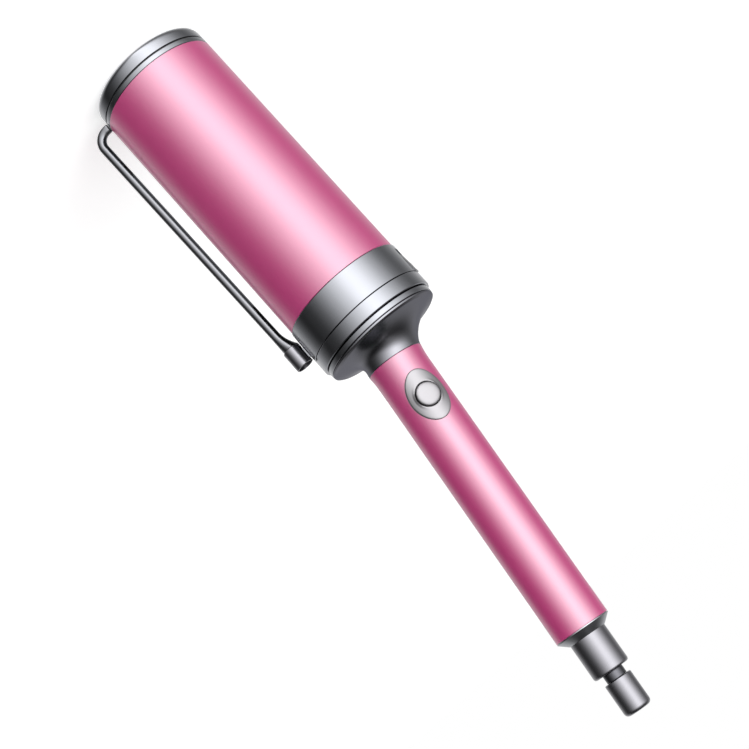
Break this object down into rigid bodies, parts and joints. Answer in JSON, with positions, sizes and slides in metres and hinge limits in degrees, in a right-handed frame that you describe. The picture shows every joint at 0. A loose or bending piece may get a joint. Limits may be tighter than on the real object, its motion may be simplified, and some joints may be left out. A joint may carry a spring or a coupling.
{
  "type": "curling wand",
  "caption": "Hair curling wand: wide heated barrel with a sprung wire hair clip, chrome collar, slim bent handle with a power button and a swivelling plug spigot.",
  "frame": {"origin": "centre of the tip cap's flat end face, on which the wand stands", "axes": "+Z along the barrel's axis from the tip towards the handle; +X towards the wire hair clip, the side to which the handle leans"},
  "size_m": [0.0614, 0.0518, 0.3106],
  "materials": {
    "anodised_pink": "gloss anodised",
    "polished_chrome": "mirror polished",
    "satin_steel": "fine satin",
    "satin_silver": "satin plated",
    "plain_steel": "plain",
    "cast_aluminium": "as extruded",
    "dark_chrome": "black chrome",
    "black_plastic": "fine matt",
    "ceramic": "unglazed ceramic",
    "mica": "mica sheet",
    "circuit_board": "solder resist",
    "contact_brass": "sprung strip",
    "lead_red": "silicone sleeve",
    "lead_white": "silicone sleeve"
  },
  "bodies": {
    "wand": {"barrel_tube": "anodised_pink", "handle_tube": "anodised_pink", "tip_cap": "polished_chrome", "tip_ring": "polished_chrome", "collar_band": "polished_chrome", "collar_ring": "polished_chrome", "rim_ring": "polished_chrome", "clip_spring": "satin_steel", "button_bezel": "satin_silver", "tip_screw": "plain_steel", "holder_screw_1": "plain_steel", "holder_screw_2": "plain_steel", "holder_screw_3": "plain_steel", "shoe_spring_left": "plain_steel", "shoe_spring_right": "plain_steel", "thermal_fuse": "plain_steel", "heater_shoe_front": "cast_aluminium", "heater_shoe_back": "cast_aluminium", "capacitor": "cast_aluminium", "bell_neck": "dark_chrome", "handle_end_ring": "dark_chrome", "tip_gasket": "black_plastic", "barrel_holder": "black_plastic", "board_tray": "black_plastic", "swivel_bush": "black_plastic", "heat_slide_switch": "black_plastic", "tact_switch": "black_plastic", "power_module": "black_plastic", "tip_plug": "ceramic", "heater_plate": "ceramic", "temperature_sensor": "ceramic", "mica_disc": "mica", "control_board": "circuit_board", "contact_spring_live": "contact_brass", "contact_spring_neutral": "contact_brass", "heater_lead_live": "lead_red", "supply_lead_live": "lead_red", "heater_lead_neutral": "lead_white", "supply_lead_neutral": "lead_white", "sensor_lead": "lead_white"},
    "clip": {"clip_wire": "polished_chrome", "clip_ferrule": "satin_steel", "clip_pin": "satin_steel"},
    "button": {"power_button": "satin_silver"},
    "heat_slide": {"heat_slide_tab": "satin_steel"},
    "swivel": {"swivel_stub": "satin_steel", "swivel_insulator": "black_plastic", "plug_tip": "satin_steel", "swivel_retaining_ring": "satin_steel"}
  },
  "joints": [
    {"name": "clip_hinge", "type": "hinge", "parent": "wand", "child": "clip", "pos_m": [0.0302, 0, 0.1275], "axis": [0, -1, 0], "range_deg": [0, 12], "stiffness_Nm_per_rad": 0.2, "springref_deg": -17.19},
    {"name": "button_press", "type": "slide", "parent": "wand", "child": "button", "axis": [0.4118, 0.91, -0.0491], "range_m": [0, 0.0008], "stiffness_N_per_m": 300, "springref_m": -0.001},
    {"name": "heat_slide_travel", "type": "slide", "parent": "wand", "child": "heat_slide", "axis": [0, 0, -1], "range_m": [0, 0.0025]},
    {"name": "spigot_swivel", "type": "hinge", "parent": "wand", "child": "swivel", "pos_m": [0.01985, 0, 0.29322], "axis": [0.1184, 0, 0.993], "continuous": true}
  ]
}
